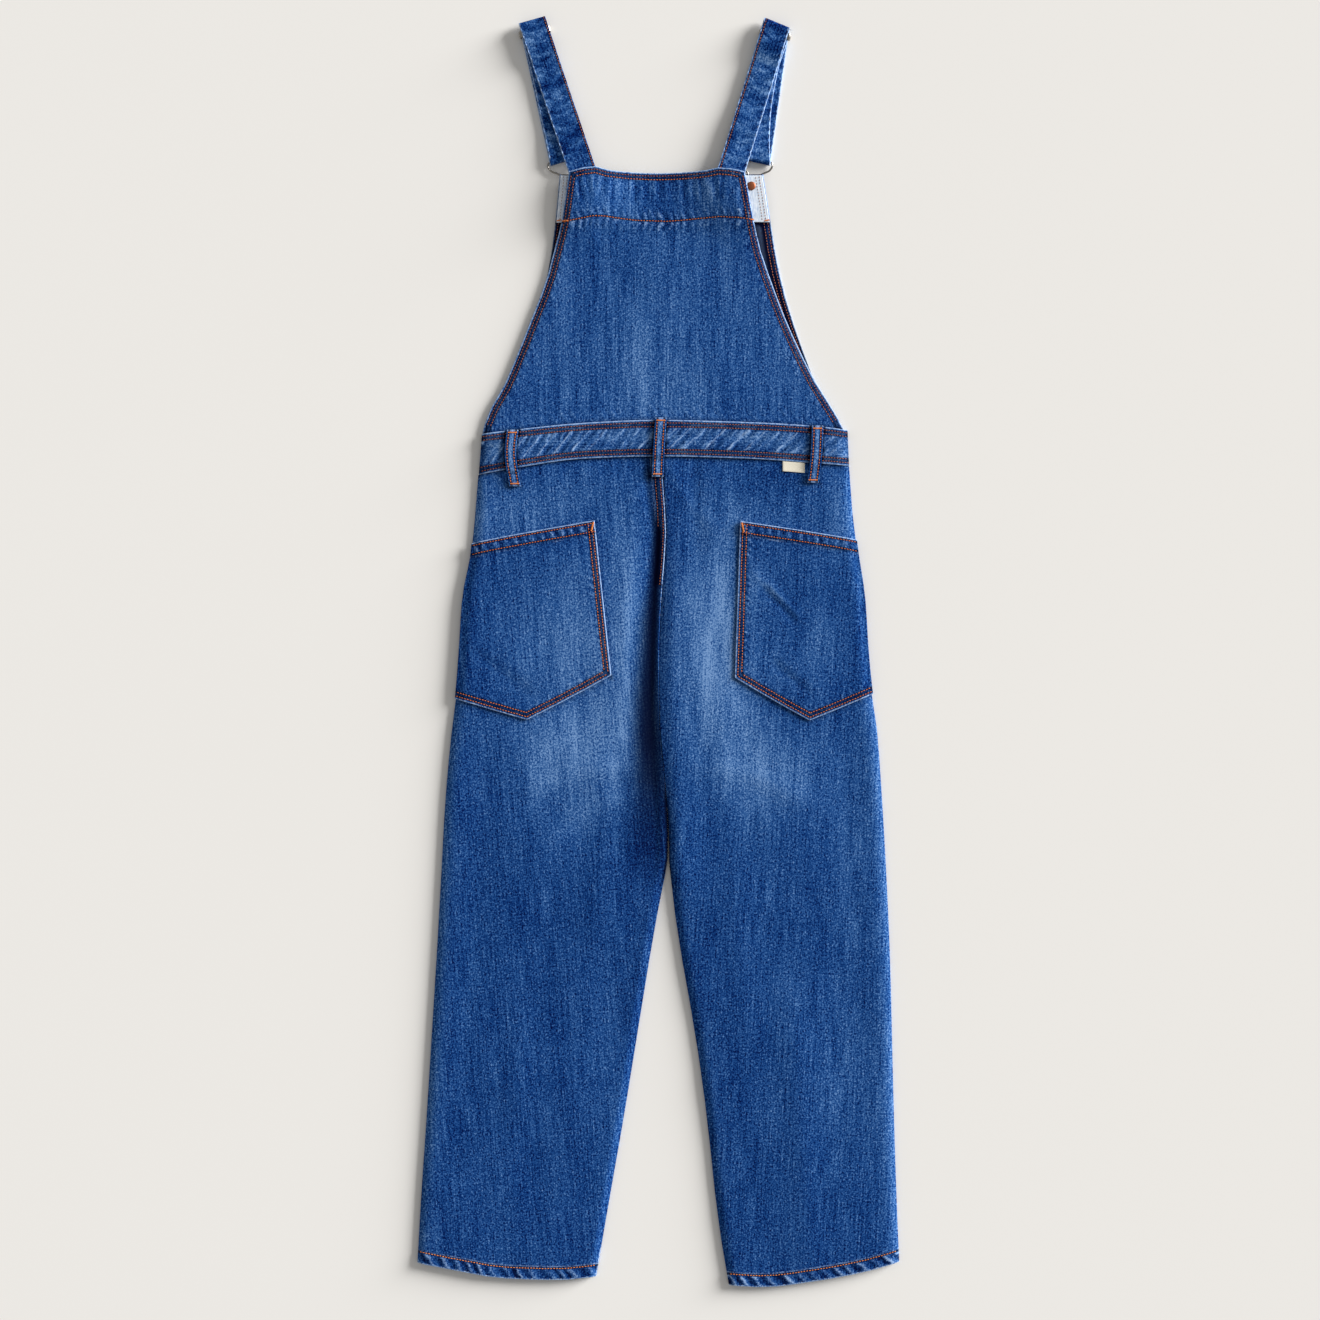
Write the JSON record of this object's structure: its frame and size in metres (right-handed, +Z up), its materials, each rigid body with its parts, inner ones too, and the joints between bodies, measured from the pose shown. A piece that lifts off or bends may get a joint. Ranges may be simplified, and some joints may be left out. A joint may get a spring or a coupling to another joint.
{
  "type": "denim dungarees",
  "caption": "Blue denim dungarees laid flat, back up: wide legs, bib, waistband, back pockets and straps hooked to the bib.",
  "frame": {"origin": "middle of the garment's footprint, on the surface it lies on", "axes": "+Y from the hems to the straps, along the garment's length; +X to the wearer's right hip, because the garment lies on its front; +Z up from the surface"},
  "size_m": [0.5298, 1.3954, 0.0162],
  "materials": {
    "denim": "stonewashed indigo twill, matt",
    "denim_wrong_side": "pale wrong side of the twill, matt",
    "label": "bare woven cotton tape",
    "nickel": "nickel-plated wire and brass",
    "copper": "dull copper-plated rivet",
    "thread": "rust-coloured spun polyester sewing thread"
  },
  "bodies": {
    "root": {"front_leg_left": "denim", "front_leg_right": "denim", "back_leg_left": "denim", "back_leg_right": "denim", "pocket_left": "denim", "pocket_right": "denim", "waistband_front": "denim", "waistband_back": "denim", "front_bib": "denim", "front_bib_facing": "denim_wrong_side", "back_bib": "denim", "belt_loop_left": "denim", "belt_loop_centre": "denim", "belt_loop_right": "denim", "label_tab": "label", "strap_left": "denim", "strap_right": "denim", "strap_slide_left": "nickel", "strap_slide_right": "nickel", "hook_left": "nickel", "hook_right": "nickel", "bib_button_left": "nickel", "bib_button_right": "nickel", "bib_rivet_left": "copper", "bib_rivet_right": "copper"}
  },
  "joints": []
}
